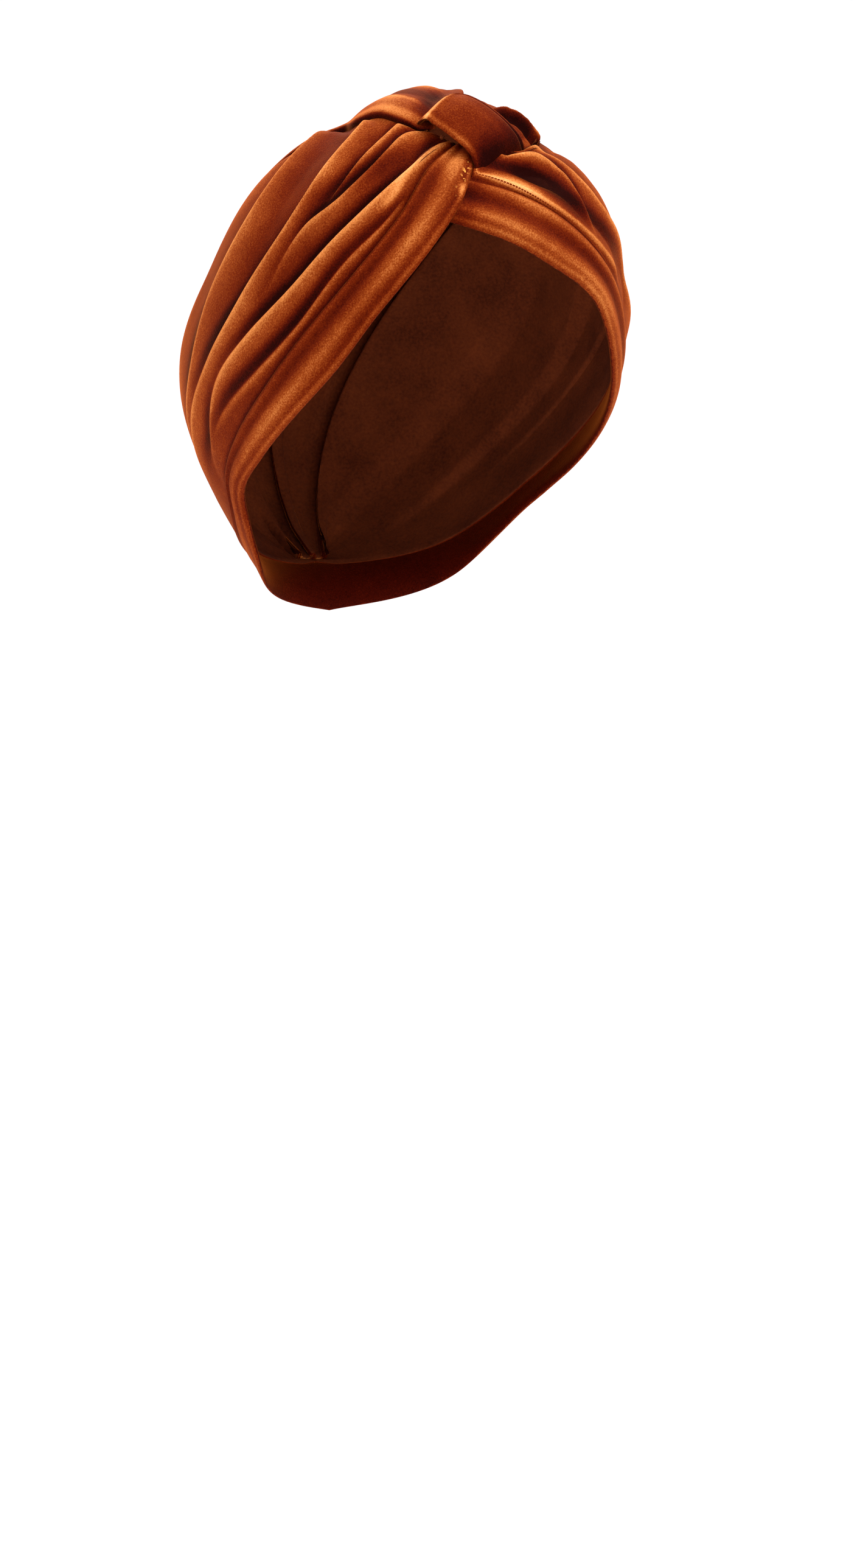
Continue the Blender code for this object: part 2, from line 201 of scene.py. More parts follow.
def between(p, q, share):
    """Direction a share of the way from p to q along the arc that joins them."""
    angle = np.arccos(np.clip((p * q).sum(axis=-1, keepdims=True), -1.0, 1.0))
    angle = np.maximum(angle, 0.0001)
    share = share[..., None]
    return (np.sin((1.0 - share) * angle) * p + np.sin(share * angle) * q) / np.sin(angle)


def arc_width(p, q):
    """Width in millimetres of the strip between the edge directions p and q."""
    angle = np.arccos(np.clip((p * q).sum(axis=-1), -1.0, 1.0))
    return angle * head_radius(between(p, q, np.full(p.shape[:-1], 0.5))) / MM


def edge(rows, share):
    turn, rise = smooth_between(rows, share)
    return direction(turn, rise)


def ripple(share, across, seed):
    """Faint stretch wrinkles that run along the cloth, from about -1 to 1."""
    total = np.zeros(np.broadcast(share, across).shape)
    for k in range(1, 7):
        bend = 1.1 * np.sin(2.3 * k * share + seed * k) + 0.6 * np.sin(5.1 * share * k + seed)
        total += np.sin((4.0 + 5.3 * k) * across + bend + seed * 1.7 * k) / k**0.7
    return total / 3.0


def glow(spots, share, across, width, length):
    """Sum of soft spots given in a table, such as painted light and shade spots in the tone or dents
    in the lift.
    """
    total = np.zeros(share.shape)
    for at_share, at_across, long_mm, wide_mm, amount in spots:
        away = ((share - at_share) * length / long_mm) ** 2
        away += ((across - at_across) * width / wide_mm) ** 2
        total += amount * np.exp(-away)
    return total


def add_grid(name, rows, columns):
    """A flat grid and its vertices' shares along (x) and across (y), from 0 to 1."""
    bpy.ops.mesh.primitive_grid_add(x_subdivisions=rows, y_subdivisions=columns, size=1.0)
    piece = bpy.context.object
    piece.name = name
    piece.data.name = name
    flat = np.empty(len(piece.data.vertices) * 3)
    piece.data.vertices.foreach_get("co", flat)
    flat = flat.reshape(-1, 3)
    return piece, np.clip(flat[:, 0] + 0.5, 0.0, 1.0), np.clip(flat[:, 1] + 0.5, 0.0, 1.0)


def lay(piece, d, lift_mm, marks):
    """Moves the vertices to their lift above the head and keeps marks as attributes."""
    places = d * (head_radius(d) + lift_mm * MM)[:, None]
    places[:, 2] -= MIDDLE_BELOW_ORIGIN
    piece.data.vertices.foreach_set("co", places.ravel())
    for name, values in marks.items():
        attribute = piece.data.attributes.new(name, "FLOAT", "POINT")
        attribute.data.foreach_set("value", np.asarray(values, dtype=np.float32))
    piece.data.update()
    bpy.ops.object.mode_set(mode="EDIT")
    bpy.ops.mesh.select_all(action="SELECT")
    bpy.ops.mesh.remove_doubles(threshold=0.00002)
    bpy.ops.mesh.normals_make_consistent(inside=False)
    bpy.ops.object.mode_set(mode="OBJECT")
    middle = Vector((0.0, 0.0, -MIDDLE_BELOW_ORIGIN))
    faces = piece.data.polygons
    if sum(f.normal.dot(f.center - middle) * f.area for f in faces) < 0.0:
        bpy.ops.object.mode_set(mode="EDIT")
        bpy.ops.mesh.select_all(action="SELECT")
        bpy.ops.mesh.flip_normals()
        bpy.ops.object.mode_set(mode="OBJECT")
    bpy.ops.object.shade_smooth()


def add_ramp(nodes, stops):
    ramp = nodes.new("ShaderNodeValToRGB")
    while len(ramp.color_ramp.elements) < len(stops):
        ramp.color_ramp.elements.new(0.5)
    for element, (place, colour) in zip(ramp.color_ramp.elements, stops):
        element.position = place
        element.color = (*colour, 1.0)
    return ramp


def add_math(nodes, links, operation, first, second):
    node = nodes.new("ShaderNodeMath")
    node.operation = operation
    for socket, value in zip(node.inputs, (first, second)):
        if isinstance(value, float):
            socket.default_value = value
        else:
            links.new(value, socket)
    return node.outputs[0]


def add_noise(nodes, links, place, scale, detail, roughness):
    noise = nodes.new("ShaderNodeTexNoise")
    noise.inputs["Scale"].default_value = scale
    noise.inputs["Detail"].default_value = detail
    noise.inputs["Roughness"].default_value = roughness
    links.new(place, noise.inputs["Vector"])
    return noise.outputs["Fac"]


def add_mark(nodes, name):
    mark = nodes.new("ShaderNodeAttribute")
    mark.attribute_name = name
    return mark.outputs["Fac"]


SEAM_OFFSET = 10.0


def velvet_material():
    """Rust velvet: its colour follows a tone mark, with painted highlights on crests and painted
    shade in folds and hollows.
    """
    material = bpy.data.materials.new("rust velvet")
    material.use_nodes = True
    nodes, links = material.node_tree.nodes, material.node_tree.links
    shader = nodes["Principled BSDF"]
    shader.inputs["Roughness"].default_value = 0.7
    shader.inputs["Specular IOR Level"].default_value = 0.02
    shader.inputs["Sheen Weight"].default_value = 0.45
    shader.inputs["Sheen Roughness"].default_value = 0.3
    shader.inputs["Sheen Tint"].default_value = (1.0, 0.22, 0.03, 1.0)
    place = nodes.new("ShaderNodeTexCoord").outputs["Object"]
    brushed = add_noise(nodes, links, place, 42.0, 5.0, 0.62)
    streak = add_noise(nodes, links, place, 190.0, 3.0, 0.6)
    grain = add_noise(nodes, links, place, 1700.0, 2.0, 0.6)
    # The tone mark holds painted highlights and painted shade; random brushed, streaked and grain
    # variation of the pile is added to it here.
    tone_and_painted_light = add_mark(nodes, "tone_and_painted_light")
    for source, amount in ((brushed, 0.16), (streak, 0.07), (grain, 0.36)):
        centred = add_math(nodes, links, "SUBTRACT", source, 0.5)
        scaled = add_math(nodes, links, "MULTIPLY", centred, amount)
        tone_and_painted_light = add_math(nodes, links, "ADD", tone_and_painted_light, scaled)
    light_and_pile_ramp = add_ramp(
        nodes,
        (
            (0.08, (0.012, 0.0004, 0.0001)),
            (0.26, (0.055, 0.0026, 0.0002)),
            (0.42, (0.130, 0.0120, 0.0010)),
            (0.55, (0.255, 0.0440, 0.0060)),
            (0.70, (0.530, 0.1600, 0.0360)),
            (0.98, (0.930, 0.4300, 0.1500)),
        ),
    )
    links.new(tone_and_painted_light, light_and_pile_ramp.inputs["Fac"])
    # A sewn seam: the mark is its offset plus the distance from it in millimetres, and the
    # stitches are 1.7 mm long.
    off_seam = add_math(nodes, links, "SUBTRACT", add_mark(nodes, "seam"), SEAM_OFFSET)
    off_seam = add_math(nodes, links, "ABSOLUTE", off_seam, 0.0)
    in_seam = add_math(nodes, links, "LESS_THAN", off_seam, 0.22)
    beat = add_math(nodes, links, "MULTIPLY", add_mark(nodes, "along"), 3.7)
    beat = add_math(nodes, links, "SINE", beat, 0.0)
    stitch = add_math(nodes, links, "GREATER_THAN", beat, -0.7)
    seam = add_math(nodes, links, "MULTIPLY", in_seam, stitch)
    sewn = nodes.new("ShaderNodeMix")
    sewn.data_type = "RGBA"
    sewn.inputs["B"].default_value = (0.16, 0.018, 0.002, 1.0)
    links.new(seam, sewn.inputs["Factor"])
    links.new(light_and_pile_ramp.outputs["Color"], sewn.inputs["A"])
    # Loose ends of sewing thread, where the piece is marked for them.
    ends = add_noise(nodes, links, place, 620.0, 1.0, 0.5)
    ends = add_math(nodes, links, "GREATER_THAN", ends, 0.62)
    ends = add_math(nodes, links, "MULTIPLY", ends, add_mark(nodes, "thread"))
    threaded = nodes.new("ShaderNodeMix")
    threaded.data_type = "RGBA"
    threaded.inputs["B"].default_value = (0.85, 0.34, 0.06, 1.0)
    links.new(ends, threaded.inputs["Factor"])
    links.new(sewn.outputs["Result"], threaded.inputs["A"])
    links.new(threaded.outputs["Result"], shader.inputs["Base Color"])
    height = add_math(nodes, links, "MULTIPLY", seam, -0.6)
    height = add_math(nodes, links, "ADD", height, grain)
    bump = nodes.new("ShaderNodeBump")
    bump.inputs["Strength"].default_value = 0.45
    bump.inputs["Distance"].default_value = 0.0004
    links.new(height, bump.inputs["Height"])
    links.new(bump.outputs["Normal"], shader.inputs["Normal"])
    return material


velvet = velvet_material()


def lining_material():
    """The matt knitted back of the velvet."""
    material = bpy.data.materials.new("rust knit back")
    material.use_nodes = True
    nodes, links = material.node_tree.nodes, material.node_tree.links
    shader = nodes["Principled BSDF"]
    shader.inputs["Roughness"].default_value = 0.95
    shader.inputs["Specular IOR Level"].default_value = 0.1
    place = nodes.new("ShaderNodeTexCoord").outputs["Object"]
    knit = add_noise(nodes, links, place, 900.0, 2.0, 0.6)
    worn = add_noise(nodes, links, place, 48.0, 4.0, 0.6)
    mixed = add_math(nodes, links, "MULTIPLY", knit, 0.45)
    mixed = add_math(nodes, links, "ADD", mixed, add_math(nodes, links, "MULTIPLY", worn, 0.55))
    shade = add_ramp(
        nodes,
        ((0.3, (0.060, 0.0090, 0.0022)), (0.7, (0.160, 0.0300, 0.0070))),
    )
    links.new(mixed, shade.inputs["Fac"])
    links.new(shade.outputs["Color"], shader.inputs["Base Color"])
    bump = nodes.new("ShaderNodeBump")
    bump.inputs["Strength"].default_value = 0.5
    bump.inputs["Distance"].default_value = 0.0003
    links.new(knit, bump.inputs["Height"])
    links.new(bump.outputs["Normal"], shader.inputs["Normal"])
    return material


lining = lining_material()


def finish_cloth(piece, node, wall_mm=0.0):
    """Velvet outside; an open sheet also gets its thickness and the knitted back inside."""
    piece.data.materials.append(velvet)
    if wall_mm:
        piece.data.materials.append(lining)
        wall = piece.modifiers.new("wall", "SOLIDIFY")
        wall.thickness = wall_mm * MM
        wall.offset = -1.0
        wall.material_offset = 1
        bpy.ops.object.modifier_apply(modifier=wall.name)
    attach(piece, "root")
    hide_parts(node)
    piece.select_set(False)


# Lengths are in millimetres. A tone goes from 0 in a crevice to 1 on a crest, as painted shade in
# crevices and painted highlights on crests.
BAND_ROWS = 280
BAND_ROUND = 56
BAND_THICKNESS = 3.2
BAND_LENGTH = 240.0
BAND_LIFT = 2.0
BAND_TONE = 0.395
# Tone of a roll's inner face, painted darker as shade.
HIDDEN_SHADE_TONE = 0.22
WRINKLE = 0.18


def add_band(name, node, hem, top, under, forms, spots, seed, thread=None):
    """A flat closed roll: the grid's columns run up its outer face and down its inner one.

    The table under gives its extra lift along the length, and thread the place of loose ends.
    """
    piece, share, around = add_grid(name, BAND_ROWS, BAND_ROUND)
    low_edge, top_edge = edge(hem, share), edge(top, share)
    width = arc_width(low_edge, top_edge)
    outside = around < 0.5
    along_face = np.where(outside, 2.0 * around, 2.0 - 2.0 * around)
    across = 0.5 - 0.5 * np.cos(np.pi * along_face)
    round_off = np.sqrt(np.clip(1.0 - np.abs(2.0 * across - 1.0) ** 5, 0.0, 1.0))
    from_face, from_crown = across * width, (1.0 - across) * width
    before_nape = 1.0 - ease((share - 0.82) / 0.17)
    face = WRINKLE * ripple(share, across, seed) * before_nape
    tone_and_painted_light = BAND_TONE + 0.05 * ripple(share, across, seed + 2.0) * before_nape
    # Each form's light paints it lighter or darker: painted light and shade following the raised and
    # sunken forms.
    for at, reach, height, light in forms:
        sway = 0.03 * np.sin(9.0 * share + seed)
        face += before_nape * height * hump(across - at - sway, reach)
        tone_and_painted_light += before_nape * light * hump(across - at - sway, reach)
    # Painted highlight along the roll at the face edge with painted shade just inside it, the spots'
    # painted light and shade, and painted shade in the crease along the upper edge.
    tone_and_painted_light += 0.12 * hump(from_face - 1.5, 0.9) - 0.06 * hump(from_face - 3.2, 1.2)
    tone_and_painted_light += glow(spots, share, across, width, BAND_LENGTH) - 0.25 * hump(from_crown, 0.8)
    lift = BAND_LIFT + smooth_between(under, share)[0]
    lift += np.where(outside, 1.0, -1.0) * round_off * BAND_THICKNESS / 2.0
    lift += np.where(outside, face * round_off, 0.0)
    d = between(low_edge, top_edge, across)
    marks = {"tone_and_painted_light": np.where(outside, tone_and_painted_light, HIDDEN_SHADE_TONE)}
    if thread is not None:
        at_share, at_across, long_mm, wide_mm = thread
        spot = (at_share, at_across, long_mm, wide_mm, 1.0)
        marks["thread"] = glow((spot,), share, across, width, BAND_LENGTH) * outside
    lay(piece, d, lift, marks)
    finish_cloth(piece, node)
    return piece


# Lengthwise forms of the band's face: share of the width, half width as a share, height in
# millimetres, and how much lighter it is painted there, as painted light and shade on the forms.
RIGHT_FORMS = (
    (0.42, 0.20, 0.3, 0.09),
    (0.74, 0.11, -0.9, -0.10),
    (0.92, 0.08, 0.2, 0.05),
)
# Spots of painted light and shade in the tone: share of the length, share of the width, reach along
# and across in millimetres, amount.
RIGHT_BAND_PAINTED_LIGHT = (
    (0.00, 0.50, 5.0, 18.0, -0.30),
    (0.06, 0.70, 9.0, 5.0, 0.26),
    (0.085, 0.13, 3.0, 1.6, 0.30),
    (0.20, 0.45, 16.0, 6.0, 0.10),
    (0.52, 0.40, 30.0, 7.0, 0.10),
)
right_band = add_band(
    "right_hem_band",
    "right_band",
    RIGHT_HEM,
    RIGHT_BAND_TOP,
    ((0.0, 0.0), (0.1, 0.2), (0.3, 0.0), (0.75, 0.2), (0.88, 1.5), (1.0, 0.8)),
    RIGHT_FORMS,
    RIGHT_BAND_PAINTED_LIGHT,
    0.4,
    thread=(0.05, 0.2, 9.0, 1.3),
)

# Left hem band
# The same folded hem on the wearer's left. Its front end passes in under the right band.
LEFT_HEM = (
    (0.0, 23.0, 23.6),
    (0.1, 9.0, 18.0),
    (0.2, -2.0, 13.0),
    (0.3, -15.0, 8.0),
    (0.4, -27.0, 0.0),
    (0.5, -40.0, -9.5),
    (0.6, -56.0, -20.0),
    (0.7, -76.0, -30.5),
    (0.8, -98.0, -40.0),
    (0.9, -125.0, -56.0),
    (1.0, -180.0, -60.0),
)
LEFT_BAND_TOP = (
    (0.0, 17.5, 33.6),
    (0.1, 5.0, 28.5),
    (0.2, -6.5, 23.5),
    (0.3, -19.0, 17.5),
    (0.4, -31.0, 11.5),
    (0.5, -45.0, 2.0),
    (0.6, -62.0, -9.0),
    (0.7, -82.0, -20.0),
    (0.8, -103.0, -31.5),
    (0.9, -135.0, -46.0),
    (1.0, -180.0, -48.0),
)
LEFT_FORMS = (
    (0.28, 0.16, 0.4, 0.12),
    (0.62, 0.14, -1.0, -0.08),
    (0.88, 0.09, 0.4, 0.14),
)
# Spots of painted light and shade in the tone, in the same columns as the right band's.
LEFT_BAND_PAINTED_LIGHT = (
    (0.03, 0.50, 4.0, 20.0, -0.12),
    (0.14, 0.75, 14.0, 4.0, 0.14),
    (0.12, 0.20, 16.0, 4.0, 0.10),
    (0.30, 0.20, 24.0, 5.0, 0.12),
)
left_band = add_band(
    "left_hem_band",
    "left_band",
    LEFT_HEM,
    LEFT_BAND_TOP,
    ((0.0, -1.9), (0.04, -1.4), (0.09, -0.1), (0.3, 0.0), (0.43, -1.2), (0.56, 0.0), (1.0, 0.8)),
    LEFT_FORMS,
    LEFT_BAND_PAINTED_LIGHT,
    2.1,
)

# Right panel
# The wearer's right half of the cloth, pleated by hand into a fan that runs out of the knot,
# each pleat's fold turned up towards the crown, and gathered in again at the nape.
RIGHT_PANEL_TOP = (
    (0.0, 24.0, 47.0),
    (0.1, 30.0, 49.5),
    (0.2, 41.0, 56.0),
    (0.3, 56.0, 61.0),
    (0.4, 76.0, 69.0),
    (0.5, 100.0, 63.0),
    (0.6, 119.0, 49.5),
    (0.7, 134.0, 34.5),
    (0.8, 150.0, 14.0),
    (0.9, 164.0, -13.0),
    (1.0, 175.0, -46.6),
)
# Height in millimetres, reach of the steep side and of the long side in millimetres, first
# and last share of the length, lean of the fold in millimetres, then the crest's share of
# the width at the stations.
STATIONS = (0.0, 0.1, 0.2, 0.3, 0.4, 0.5, 0.6, 0.7, 0.85, 1.0)
RIGHT_PLEATS = (
    (2.4, 3.0, 6.0, 0.16, 0.80, 0.8, (0.03, 0.03, 0.03, 0.065, 0.03, 0.055, 0.085, 0.09, 0.08, 0.08)),
    (4.8, 3.4, 20.0, 0.02, 0.78, 1.4, (0.16, 0.13, 0.20, 0.20, 0.16, 0.175, 0.175, 0.08, 0.03, 0.03)),
    (4.6, 3.2, 14.0, 0.0, 0.52, 1.8, (0.74, 0.70, 0.50, 0.37, 0.32, 0.19, 0.15, 0.13, 0.1, 0.1)),
    (4.6, 3.2, 12.0, 0.0, 0.40, 1.8, (1.04, 1.0, 0.65, 0.475, 0.32, 0.3, 0.3, 0.3, 0.3, 0.3)),
    (5.2, 4.0, 24.0, 0.12, 0.92, 2.2, (1.15, 1.12, 1.05, 0.70, 0.42, 0.305, 0.27, 0.25, 0.2, 0.2)),
    (5.0, 8.0, 32.0, 0.25, 1.00, 2.0, (1.5, 1.4, 1.3, 1.2, 1.0, 0.62, 0.46, 0.33, 0.3, 0.3)),
    (5.0, 12.0, 28.0, 0.25, 1.10, 1.0, (1.6, 1.5, 1.4, 1.3, 1.15, 0.95, 0.84, 0.66, 0.55, 0.55)),
)
# How much of a pleat's height is left, pressed flat under the knot and drawn tight round the
# back of the head: share of the length, at the lower edge, at the upper edge.
RIGHT_FULLNESS = (
    (0.0, 0.45, 0.45),
    (0.12, 1.0, 1.0),
    (0.35, 0.95, 1.1),
    (0.5, 0.6, 1.0),
    (0.62, 0.35, 0.55),
    (0.75, 0.5, 0.8),
    (0.84, 0.25, 0.9),
    (1.0, 0.4, 0.8),
)
# Spots of painted light and shade in the tone, in the same columns as the bands'.
RIGHT_PANEL_PAINTED_LIGHT = (
    (0.00, 0.60, 7.0, 30.0, -0.30),
    (0.04, 0.90, 9.0, 6.0, -0.20),
    (0.14, 0.24, 12.0, 3.5, 0.30),
    (0.20, 0.12, 9.0, 2.0, 0.26),
    (0.23, 0.46, 26.0, 6.0, -0.20),
    (0.33, 0.42, 24.0, 7.0, -0.14),
    (0.62, 0.20, 40.0, 16.0, 0.10),
)
# Dents and swells in the lift: the same columns, with the amount in millimetres.
RIGHT_PANEL_DENTS = (
    (0.20, 0.14, 10.0, 2.5, 0.8),
    (0.24, 0.45, 26.0, 4.0, -0.8),
    (0.66, 0.74, 20.0, 18.0, -2.0),
    (0.82, 0.34, 20.0, 14.0, -3.4),
    (0.90, 0.0, 30.0, 9.0, 1.6),
)
# The tuck is how far the sheet goes on under the swath, as a share of its width. The lifts
# are those of the cloth between the pleats, the least anywhere and at the band's seam.
PANEL_ROWS = 250
PANEL_COLUMNS = 176
PANEL_LENGTH = 300.0
PANEL_TUCK = 0.06
PANEL_UNDERLAP = 3.0
VALLEY_LIFT = 1.9
LEAST_LIFT = 1.4
SEAM_LIFT = 2.4
SWATH_CLEARANCE = 2.4
CREST_ROUNDING = 1.8
# Tone in a valley, the painted highlight that makes a crest lighter and the painted shade that makes
# a crevice darker.
VALLEY_TONE = 0.35
CREST_PAINTED_HIGHLIGHT = 0.39
CREVICE_PAINTED_SHADE = 0.36


def pleat_crests(pleats, share):
    """For each pleat its row of the table, the crest's share of the width and its fade."""
    for height, steep, reach, first, last, lean, crests in pleats:
        crest = smooth_between(tuple(zip(STATIONS, crests)), share)[0]
        fade = ease((share - first + 0.04) / 0.08) * ease((last - share) / 0.16)
        yield height, steep, reach, lean, crest, fade


def close_up(pleats, share, across, width):
    """Draws the columns of the grid together along the crests, row by row.

    The sheet reaches under the band at its lower edge and under the swath at its upper one.
    """
    rows = np.unique(np.round(share, 6))
    out = np.array(across)
    for row in rows:
        here = np.abs(share - row) < 1e-5
        row_width = float(width[here][0])
        underlap = PANEL_UNDERLAP / max(row_width, 12.0)
        fine = np.linspace(-underlap, 1.0 + PANEL_TUCK + underlap, 600)
        density = np.ones(600)
        for height, steep, reach, lean, crest, fade in pleat_crests(pleats, np.array([row])):
            away = (fine - crest[0]) * row_width
            density += 3.2 * fade[0] * hump(away - 0.5 * steep, 0.9 * steep)
        total = np.concatenate([[0.0], np.cumsum((density[1:] + density[:-1]) / 2.0)])
        out[here] = np.interp(across[here] * total[-1], total, fine)
    return out


def pleated(pleats, share, across, width):
    """Lift and lean of the pleats, with painted highlights on crests and slopes and painted shade in
    crevices.
    """
    lifts, lights, crevice_shades = [], [], []
    leaning = np.zeros(share.shape)
    for height, steep, reach, lean, crest, fade in pleat_crests(pleats, share):
        away = (across - crest) * width
        slope = np.clip(1.0 + away / reach, 0.0, None) ** 1.3
        back = 1.0 - away / steep
        sharp = np.clip(CREST_ROUNDING * height * np.stack([slope, back]), -30.0, 60.0)
        lift = -np.log(np.exp(-sharp).sum(axis=0)) / CREST_ROUNDING
        lift = fade * np.clip(lift, 0.0, height)
        lifts.append(lift)
        # Painted highlight along the crest, fading down the long slope.
        shine = 0.30 * hump(away + 0.5, 1.3) + 0.55 * np.exp(np.minimum(away, 0.0) / (0.55 * reach))
        lights.append(fade * shine * np.exp(-np.clip(away - 0.5, 0.0, 50.0) / 1.0))
        # Painted shade in the crevice on the crown side of the crest.
        crevice_shades.append(fade * hump(away - 1.15 * steep, 0.5 * min(steep, 5.0) + 1.5))
        leaning = np.maximum(leaning, lean * fade * (lift / height) ** 2 * hump(away, 7.0))
    total = sum(lift**6 for lift in lifts) ** (1.0 / 6.0)
    light = np.zeros(share.shape)
    crevice_shade = np.zeros(share.shape)
    for lift, shine, shade in zip(lifts, lights, crevice_shades):
        light = np.maximum(light, shine * ease(1.3 - (total - lift) / 1.6))
        crevice_shade = np.maximum(crevice_shade, shade * ease(1.4 - total / 3.4))
    return total, leaning, light, crevice_shade


def add_panel(name, node, low, top, pleats, fullness, roof, spots, dents, start, seed, sewn):
    """The pleated half: its lower edge goes into the hem band, its upper under the swath.

    Its first rows are drawn towards start, a turn and rise under the knot. Where sewn is given,
    a stitched seam runs that many millimetres above the band.
    """
    piece, share, across = add_grid(name, PANEL_ROWS, PANEL_COLUMNS)
    low_edge, top_edge = edge(low, share), edge(top, share)
    width = arc_width(low_edge, top_edge)
    across = close_up(pleats, share, across, width)
    lift, leaning, light, crevice_shade = pleated(pleats, share, across, width)
    low_share, top_share = smooth_between(fullness, share)
    full = low_share + (top_share - low_share) * ease(across)
    wrinkles = 0.30 * ripple(share, across, seed) + 0.16 * ripple(share, 2.3 * across, seed + 4.0)
    lift = VALLEY_LIFT + full * lift + wrinkles
    lift += glow(dents, share, across, width, PANEL_LENGTH)
    lift = np.maximum(lift, LEAST_LIFT)
    from_band = across * width
    lift = np.minimum(lift, SEAM_LIFT + 0.95 * np.maximum(from_band, 0.0))
    ceiling = smooth_between(roof, share)[0] - SWATH_CLEARANCE
    tucked = ease((across - 0.87) / 0.10)
    lift = lift + tucked * (np.minimum(lift, ceiling) - lift)
    # Painted highlights on crests and painted shade in crevices, painted lighter where the cloth
    # stands higher, the spots' painted light and shade, and painted shade along the band's seam and
    # under the swath's edge; the ripple is random tone.
    tone_and_painted_light = VALLEY_TONE + CREST_PAINTED_HIGHLIGHT * light * ease(0.3 + full) - CREVICE_PAINTED_SHADE * crevice_shade
    tone_and_painted_light += 0.022 * (lift - 4.0) + 0.05 * ripple(share, across, seed + 1.0)
    tone_and_painted_light += glow(spots, share, across, width, PANEL_LENGTH)
    tone_and_painted_light -= 0.16 * hump(from_band, 1.2) + 0.25 * ease((across - 0.97) / 0.03)
    across = across + leaning * full / np.maximum(width, 20.0)
    d = between(low_edge, top_edge, across)
    pull = 0.7 * (1.0 - ease(share / 0.025)) * (1.0 - ease((across - 0.6) / 0.35))
    d = d + pull[:, None] * (direction(*start) - d)
    d /= np.linalg.norm(d, axis=1)[:, None]
    marks = {"tone_and_painted_light": tone_and_painted_light}
    if sewn is not None:
        marks["seam"] = SEAM_OFFSET + from_band - sewn
        marks["along"] = share * PANEL_LENGTH
    lay(piece, d, lift, marks)
    finish_cloth(piece, node, wall_mm=1.2)
    return piece


# Lift of a crown swath in millimetres: share of the length, at the lower edge, extra in the
# middle, at the upper edge.
DRAPE_LIFT = (
    (0.0, 4.4, 0.0, 8.0),
    (0.05, 5.2, 0.6, 10.4),
    (0.1, 7.4, -0.6, 10.4),
    (0.14, 7.8, 0.6, 9.4),
    (0.2, 8.4, 1.4, 8.0),
    (0.27, 6.6, 0.8, 5.4),
    (0.33, 4.2, 0.0, 4.2),
    (0.41, 4.2, 0.2, 4.4),
    (0.5, 6.4, 0.2, 4.4),
    (0.58, 6.6, 0.2, 4.2),
    (0.68, 5.4, 0.5, 4.0),
    (0.9, 4.6, 0.4, 4.0),
    (1.0, 2.4, 0.0, 2.0),
)
right_panel = add_panel(
    "right_pleated_panel",
    "right_panel",
    RIGHT_BAND_TOP,
    RIGHT_PANEL_TOP,
    RIGHT_PLEATS,
    RIGHT_FULLNESS,
    DRAPE_LIFT,
    RIGHT_PANEL_PAINTED_LIGHT,
    RIGHT_PANEL_DENTS,
    (20.0, 44.0),
    0.9,
    None,
)

# Left panel
# The wearer's left half, with two rolls that come up out of the crossing and a deep hollow
# between them, and pleats that match the right side further back.
LEFT_PANEL_TOP = (
    (0.0, -2.6, 39.2),
    (0.1, -10.0, 43.5),
    (0.2, -22.0, 50.0),
    (0.3, -38.0, 55.5),
    (0.4, -62.0, 58.0),
    (0.5, -88.0, 55.0),
    (0.6, -110.0, 47.5),
    (0.7, -130.0, 35.0),
    (0.8, -149.0, 14.0),
    (0.9, -164.0, -13.0),
    (1.0, -175.0, -46.6),
)
LEFT_PLEATS = (
    (2.2, 8.0, 3.0, 0.0, 0.50, 0.0, (0.06, 0.06, 0.05, 0.05, 0.06, 0.08, 0.08, 0.08, 0.08, 0.08)),
    (4.8, 3.4, 11.0, 0.0, 0.34, 1.6, (0.50, 0.55, 0.40, 0.05, 0.02, 0.02, 0.02, 0.02, 0.02, 0.02)),
    (4.8, 3.6, 14.0, 0.0, 0.62, 1.6, (0.86, 0.80, 0.57, 0.33, 0.20, 0.12, 0.1, 0.1, 0.1, 0.1)),
    (4.6, 4.6, 22.0, 0.2, 0.92, 1.8, (0.98, 0.96, 0.88, 0.66, 0.48, 0.35, 0.28, 0.24, 0.21, 0.2)),
    (5.0, 8.0, 30.0, 0.2, 1.00, 1.6, (1.4, 1.3, 1.2, 1.0, 0.76, 0.57, 0.44, 0.34, 0.31, 0.3)),
    (5.0, 12.0, 28.0, 0.3, 1.10, 1.0, (1.6, 1.5, 1.4, 1.3, 1.1, 0.92, 0.76, 0.62, 0.56, 0.55)),
)
LEFT_FULLNESS = (
    (0.0, 0.6, 0.5),
    (0.06, 0.9, 0.9),
    (0.2, 0.9, 0.3),
    (0.35, 0.85, 0.45),
    (0.5, 0.9, 1.0),
    (0.7, 0.9, 1.1),
    (0.85, 0.6, 1.0),
    (1.0, 0.4, 0.8),
)
# Spots of painted light and shade in the tone, in the same columns as the bands'.
LEFT_PANEL_PAINTED_LIGHT = (
    (0.00, 0.60, 4.0, 20.0, -0.20),
    (0.10, 0.10, 22.0, 4.0, 0.30),
    (0.14, 0.32, 18.0, 3.5, -0.22),
    (0.30, 0.14, 20.0, 5.0, 0.16),
    (0.16, 0.70, 22.0, 6.0, 0.08),
    (0.24, 0.12, 10.0, 3.0, -0.12),
    (0.06, 0.36, 10.0, 5.0, 0.06),
)
LEFT_PANEL_DENTS = (
    (0.14, 0.32, 18.0, 4.5, -1.8),
    (0.10, 0.54, 18.0, 5.0, 1.2),
    (0.43, 0.12, 16.0, 7.0, -3.8),
    (0.20, 0.86, 26.0, 11.0, -2.6),
    (0.41, 0.29, 16.0, 5.0, 1.0),
    (0.09, 0.12, 22.0, 4.0, 0.8),
)
